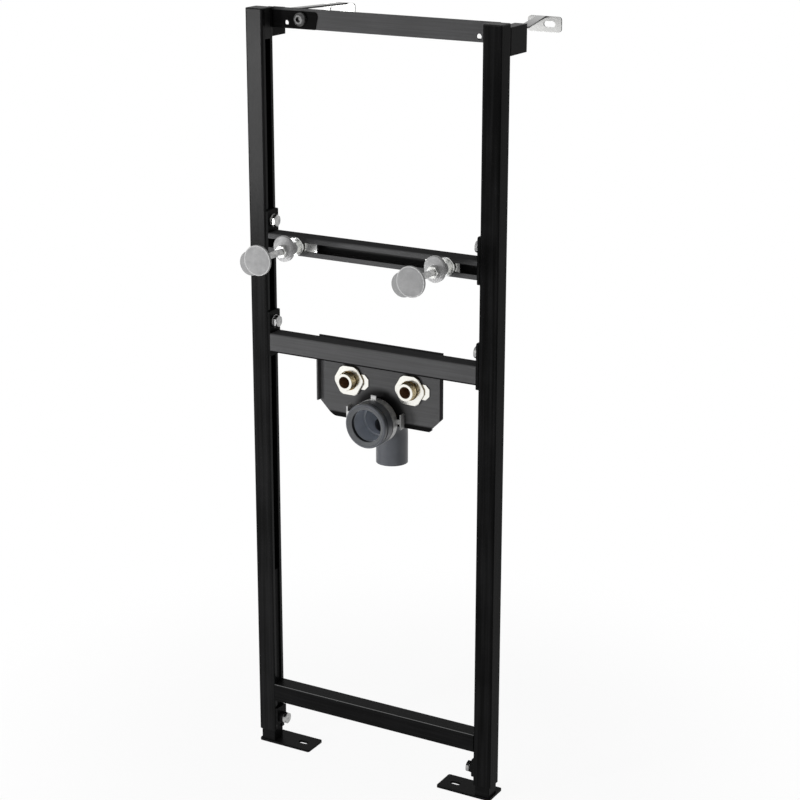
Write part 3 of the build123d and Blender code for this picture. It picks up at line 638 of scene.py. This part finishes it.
def make_pieces(name, modeller, sizes, places, finish, body, stands_for):
    """Run a tree on points (spot, way), and turn the result into one plain mesh piece."""
    start = bpy.data.meshes.new(name)
    start.from_pydata([spot for spot, way in places], [], [])
    ways = start.attributes.new("way", "FLOAT_VECTOR", "POINT")
    for index, (spot, way) in enumerate(places):
        ways.data[index].vector = way
    maker = bpy.data.objects.new(name + "_maker", start)
    bpy.context.collection.objects.link(maker)
    modifier = maker.modifiers.new("shape", "NODES")
    modifier.node_group = modeller.tree
    for size_name, value in sizes.items():
        modifier[modeller.names[size_name]] = value
    evaluated = maker.evaluated_get(bpy.context.evaluated_depsgraph_get())
    mesh = bpy.data.meshes.new_from_object(evaluated)
    maker.modifiers.remove(modifier)
    bpy.data.objects.remove(maker)
    shell = bmesh.new()
    shell.from_mesh(mesh)
    loose = [edge for edge in shell.edges if edge.is_wire]
    bmesh.ops.delete(shell, geom=loose, context="EDGES")
    bmesh.ops.recalc_face_normals(shell, faces=shell.faces)
    open_edges = sum(not edge.is_manifold for edge in shell.edges)
    shell.to_mesh(mesh)
    shell.free()
    mesh.materials.clear()
    mesh.materials.append(finish)
    piece = bpy.data.objects.new(name, mesh)
    bpy.context.collection.objects.link(piece)
    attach(piece, body)
    if stands_for:
        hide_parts(*stands_for)
    print(name, len(mesh.polygons), "faces,", open_edges, "open edges")


def middle(node, axis):
    low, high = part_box(node)
    return (low[axis] + high[axis]) / 2


print("workshop ready")

# %% [markdown]
# ## Threaded rods
# Two M10 rods stand out of the fixing rail to carry the basin. Their thread is what the eye
# reads at once as a rod, so it is modelled: the radius of the wound grid follows a triangle wave
# along the rod, and the wave is shifted by one pitch for each turn, which makes a true helix. At
# both ends the thread runs out, so the ends are round and close to a point.

# %% Rod recipe


def thread_recipe(name, columns, rows, hollow):
    """A thread of rows rings, closed to a point at its ends, or on to its bore when hollow."""
    modeller = Modeller(name)
    length = modeller.size("Length")
    radius = modeller.size("Radius")
    depth = modeller.size("Depth")
    pitch = modeller.size("Pitch")
    bore = modeller.size("Bore")
    last = rows + (2 if hollow else 1)

    def along(row, turn):
        share = ((row - 1) / (rows - 1)).most(0).least(1)
        return length * share * (1 - row.above(rows + 1.5))

    def out(row, turn):
        spot = along(row, turn)
        wave = abs(((spot / pitch - turn) % 1) * 2 - 1)
        runout = (spot.least(length - spot) / pitch).most(0).least(1)
        thread = radius - depth * (1 - wave * runout)
        inner = (1 - row.above(0.5)) + row.above(rows + 0.5)
        return thread * (1 - inner) + bore * inner

    shape = modeller.wound(columns, last + 1, out, along)
    modeller.on_places(shape, dull_zinc)
    return modeller


ROD_R, ROD_DEPTH, ROD_PITCH = 5 * MM, 0.85 * MM, 1.5 * MM
ROD_COLUMNS, ROD_ROWS = 25, 420
rod_box = {side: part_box(side + "_basin_rod") for side in SIDES}
rod_length = rod_box["left"][1][1] - rod_box["left"][0][1]
rods = thread_recipe("threaded rod", ROD_COLUMNS, ROD_ROWS, hollow=False)
rod_sizes = {"Length": rod_length, "Radius": ROD_R, "Depth": ROD_DEPTH}
rod_sizes |= {"Pitch": ROD_PITCH, "Bore": 0.0}
rod_spots = []
for side in SIDES:
    node = side + "_basin_rod"
    rod_spots.append(((middle(node, 0), rod_box[side][1][1], middle(node, 2)), (0, -1, 0)))
make_pieces("threaded_rods", rods, rod_sizes, rod_spots, dull_zinc, "frame", [])

# %% [markdown]
# ## Nuts and bolt heads
# A hexagon nut is a turned blank with six flats. Its corners are chamfered, which leaves the
# curved edge on each flat. The wound grid makes that exactly: each column takes the radius of the
# hexagon at its angle, and drops at the corners by the slope of the chamfer. A round washer is
# the same grid without the flats.

# %% Fastener recipe
CHAMFER = math.tan(math.radians(30))
SIXTH = 1 / 6
FACE_SHARE = 0.97
HEAD_COLUMNS, HEAD_ROWS = 49, 7
STEM_COLUMNS, STEM_ROWS = 25, 4


def fastener_recipe(name):
    """A hexagon on a round washer with a shank behind it, along +Z from the seat."""
    modeller = Modeller(name)
    flats = modeller.size("Flats")
    thick = modeller.size("Thick")
    bore = modeller.size("Bore")
    washer_r = modeller.size("Washer radius")
    washer = modeller.size("Washer")
    shank_r = modeller.size("Shank radius")
    shank = modeller.size("Shank")
    face_r = flats * (FACE_SHARE / 2)

    def hex_r(turn):
        return flats * 0.5 / ((turn % SIXTH - SIXTH / 2) * (2 * math.pi)).cos()

    def outline(row, edge, face):
        """Bore on the first and last rows, the face beside them, and the edge between."""
        inner = (1 - row.above(0.5)) + row.above(4.5)
        rim = row.above(0.5) - row.above(1.5) + row.above(3.5) - row.above(4.5)
        return bore * inner + face * rim + edge * (1 - inner - rim)

    def level(row, foot, tall, drop):
        """Foot, foot + drop, tall - drop and tall; the last row goes back to the foot."""
        side = row.above(1.5) * drop + row.above(2.5) * (tall - 2 * drop) + row.above(3.5) * drop
        return foot + side - row.above(5.5) * tall

    head = modeller.wound(
        HEAD_COLUMNS, HEAD_ROWS,
        lambda row, turn: outline(row, hex_r(turn), face_r),
        lambda row, turn: level(row, washer, thick, (hex_r(turn) - face_r) * CHAMFER),
    )
    disc = modeller.wound(
        HEAD_COLUMNS, HEAD_ROWS,
        lambda row, turn: outline(row, washer_r, washer_r * FACE_SHARE),
        lambda row, turn: level(row, 0.0, washer, washer * 0.2),
    )
    stem = modeller.wound(
        STEM_COLUMNS, STEM_ROWS,
        lambda row, turn: shank_r * (row.above(0.5) - row.above(2.5)),
        lambda row, turn: row.above(1.5) * shank - shank,
    )
    modeller.on_places(modeller.joined(head, disc, stem), dull_zinc)
    return modeller


fasteners = fastener_recipe("hexagon fasteners")
print("fastener recipe with", len(fasteners.names), "sizes")

# %% [markdown]
# The bars hang on four bolts, and each leg is held by one more. A nut with a flange clamps each
# rod to the rail, and a second nut holds its bush. The seats are read from the boxes of the CAD
# nodes that these pieces stand for.

# %% Bolts and nuts
BOLT = {"Flats": 17 * MM, "Bore": 0.0, "Shank radius": 4.9 * MM}
NUT = {"Flats": 17 * MM, "Thick": 8 * MM, "Bore": 4.6 * MM, "Shank radius": 0.0, "Shank": 0.0}


def bolt_seat(node, reach):
    """The seat of a bolt along X, reach behind the end of its head, and the way it points."""
    low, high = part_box(node)
    left = low[0] < 0
    x = high[0] - reach if left else low[0] + reach
    return ((x, middle(node, 1), middle(node, 2)), (1, 0, 0) if left else (-1, 0, 0))


bar_bolts = [side + kind for side in SIDES for kind in ("_service_bolt", "_fixing_bolt")]
bar_sizes = BOLT | {"Thick": 6.4 * MM, "Shank": 18.5 * MM}
bar_sizes |= {"Washer radius": 10 * MM, "Washer": 1.6 * MM}
bar_reach = bar_sizes["Thick"] + bar_sizes["Washer"]
bar_spots = [bolt_seat(node, bar_reach) for node in bar_bolts]
make_pieces("bar_bolts", fasteners, bar_sizes, bar_spots, dull_zinc, "frame", bar_bolts)

lock_bolts = [side + "_lock_bolt" for side in SIDES]
lock_sizes = BOLT | {"Thick": 5.7 * MM, "Shank": 12 * MM}
lock_sizes |= {"Washer radius": 8.2 * MM, "Washer": 0.7 * MM}
lock_reach = lock_sizes["Thick"] + lock_sizes["Washer"]
lock_spots = [bolt_seat(node, lock_reach) for node in lock_bolts]
make_pieces("lock_bolts", fasteners, lock_sizes, lock_spots, dull_zinc, "frame", lock_bolts)

rail_nuts = [side + "_rail_nut" for side in SIDES]
rail_sizes = NUT | {"Washer radius": 14 * MM, "Washer": 3 * MM}
rail_spots = []
for node in rail_nuts:
    rail_spots.append(((middle(node, 0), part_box(node)[1][1], middle(node, 2)), (0, -1, 0)))
make_pieces("rail_nuts", fasteners, rail_sizes, rail_spots, bright_zinc, "frame", rail_nuts)

bush_nuts = [side + "_basin_rod" for side in SIDES]
bush_sizes = NUT | {"Thick": 7.2 * MM, "Washer radius": 8.3 * MM, "Washer": 0.8 * MM}
bush_spots = []
for side in SIDES:
    node = side + "_basin_rod"
    front_of_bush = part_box(side + "_bush")[0][1]
    bush_spots.append(((middle(node, 0), front_of_bush, middle(node, 2)), (0, -1, 0)))
make_pieces("bush_nuts", fasteners, bush_sizes, bush_spots, bright_zinc, "frame", bush_nuts)

# %% [markdown]
# ## Pipe thread
# The brass mouth of each water fitting has a pipe thread that runs into its nut. It is a sleeve
# of the rod recipe, hollow, that sits on the plain tube of the CAD model.

# %% Thread on the water fittings
FITTING_R = 13.2 * MM
SLEEVE_BACK = 13 * MM
SLEEVE_COLUMNS, SLEEVE_ROWS = 49, 56
sleeve = thread_recipe("pipe thread", SLEEVE_COLUMNS, SLEEVE_ROWS, hollow=True)
sleeve_sizes = {"Length": 12.5 * MM, "Radius": 13.9 * MM, "Depth": 0.75 * MM}
sleeve_sizes |= {"Pitch": 1.81 * MM, "Bore": FITTING_R - 0.3 * MM}
sleeve_spots = []
for side in SIDES:
    node = side + "_water_elbow"
    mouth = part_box(node)[0][1]
    sleeve_spots.append(((middle(node, 0), mouth + SLEEVE_BACK, FITTING_Z), (0, -1, 0)))
make_pieces("pipe_threads", sleeve, sleeve_sizes, sleeve_spots, brass, "frame", [])

# %% [markdown]
# ## Camera, floor and light
# The photograph was taken from the right and a little above, with a long lens. The camera below
# was solved from the edges of the posts and bars, so the render falls on the photograph. The
# floor is a pale disc that the eye looks through to the white room, all but a faint share that
# holds the shadow of the feet. So a foot that is drawn out below the floor still shows.

# %% Camera
CAMERA_SPOT = (1.4993, -2.5998, 1.5512)
YAW, PITCH, ROLL = 29.609, 17.433, 0.071
SENSOR, LENS = 36.0, 91.83
camera = bpy.data.objects.new("camera", bpy.data.cameras.new("camera"))
bpy.context.collection.objects.link(camera)
camera.location = CAMERA_SPOT
aim = Euler((math.radians(90 - PITCH), 0, math.radians(YAW))).to_matrix()
camera.rotation_euler = (aim @ Matrix.Rotation(math.radians(ROLL), 3, "Z")).to_euler()
camera.data.sensor_width = SENSOR
camera.data.lens = LENS
camera.data.clip_end = 200
bpy.context.scene.camera = camera
bpy.context.scene.view_settings.view_transform = "Standard"
print("camera at", CAMERA_SPOT)

# %% World
ROOM_LIGHT = 0.27

world = bpy.data.worlds.new("studio")
bpy.context.scene.world = world
world.use_nodes = True
room = Recipe(world.node_tree)


def seen_rays(recipe):
    """1 for the rays that show the background: camera, glossy and transmission."""
    rays = recipe.tree.nodes.new("ShaderNodeLightPath")
    names = ("Is Camera Ray", "Is Glossy Ray", "Is Transmission Ray")
    camera_ray, glossy_ray, clear_ray = [Wire(recipe, rays.outputs[name]) for name in names]
    return camera_ray.most(glossy_ray).most(clear_ray)


backdrop = world.node_tree.nodes["Background"]
backdrop.inputs["Color"].default_value = (1, 1, 1, 1)
room.feed(backdrop.inputs["Strength"], seen_rays(room) * (1 - ROOM_LIGHT) + ROOM_LIGHT)
print("white room at", ROOM_LIGHT)

# %% Floor
FLOOR_R = 6.0
SHADOW_SHARE = 0.07
SHADOW_FROM, SHADOW_TO = 0.25, 0.9

pale = bpy.data.materials.new("pale floor")
pale.use_nodes = True
ground = Recipe(pale.node_tree)
pale.node_tree.nodes.remove(pale.node_tree.nodes["Principled BSDF"])
spot = ground.node("ShaderNodeTexCoord", output="Object")
far = ground.node("ShaderNodeVectorMath", {"operation": "LENGTH"}, {0: spot}, output="Value")
matt = ground.node("ShaderNodeBsdfDiffuse", None, {"Color": (0.95, 0.95, 0.95, 1)})
clear = ground.node("ShaderNodeBsdfTransparent", None, {"Color": (1, 1, 1, 1)})
shadow_share = SHADOW_SHARE * (1 - far.ramp(SHADOW_FROM, SHADOW_TO))
clear_share = seen_rays(ground) * (1 - shadow_share)
mixed = ground.node("ShaderNodeMixShader", None, {0: clear_share, 1: matt, 2: clear})
ground.feed(pale.node_tree.nodes["Material Output"].inputs["Surface"], mixed)

disc = bmesh.new()
bmesh.ops.create_circle(disc, cap_ends=True, segments=96, radius=FLOOR_R)
floor_mesh = bpy.data.meshes.new("floor")
disc.to_mesh(floor_mesh)
disc.free()
floor_mesh.materials.append(pale)
floor = bpy.data.objects.new("floor", floor_mesh)
bpy.context.collection.objects.link(floor)
print("floor of", FLOOR_R, "m")

# %% [markdown]
# Two soft lamps give the shade: a key from the front left, and a weaker one at the front that
# reaches into the waste collar. A tall strip stands where the top of the left post mirrors it
# to the camera. It makes the sheen that runs down that post, so it shows only in the gloss, and
# the two soft lamps stay out of it.

# %% Lamps


def soft_lamp(name, spot, target, wide, tall, watts, in_gloss):
    lamp = bpy.data.objects.new(name, bpy.data.lights.new(name, "AREA"))
    bpy.context.collection.objects.link(lamp)
    lamp.location = spot
    lamp.rotation_euler = (Vector(target) - Vector(spot)).to_track_quat("-Z", "Y").to_euler()
    lamp.data.shape = "RECTANGLE"
    lamp.data.size = wide
    lamp.data.size_y = tall
    lamp.data.energy = watts
    lamp.visible_glossy = in_gloss
    lamp.visible_diffuse = not in_gloss


MIDDLE, POST_TOP = (0, 0, 0.65), (-0.2, 0, 1.0)
soft_lamp("key", (-1.15, -1.95, 0.42), MIDDLE, 0.4, 0.4, watts=26, in_gloss=False)
soft_lamp("front light", (-0.25, -2.2, 0.45), MIDDLE, 0.5, 0.5, watts=14, in_gloss=False)
soft_lamp("post strip", (-1.69, -2.28, 0.75), POST_TOP, 0.3, 0.8, watts=27, in_gloss=True)
print("three lamps")
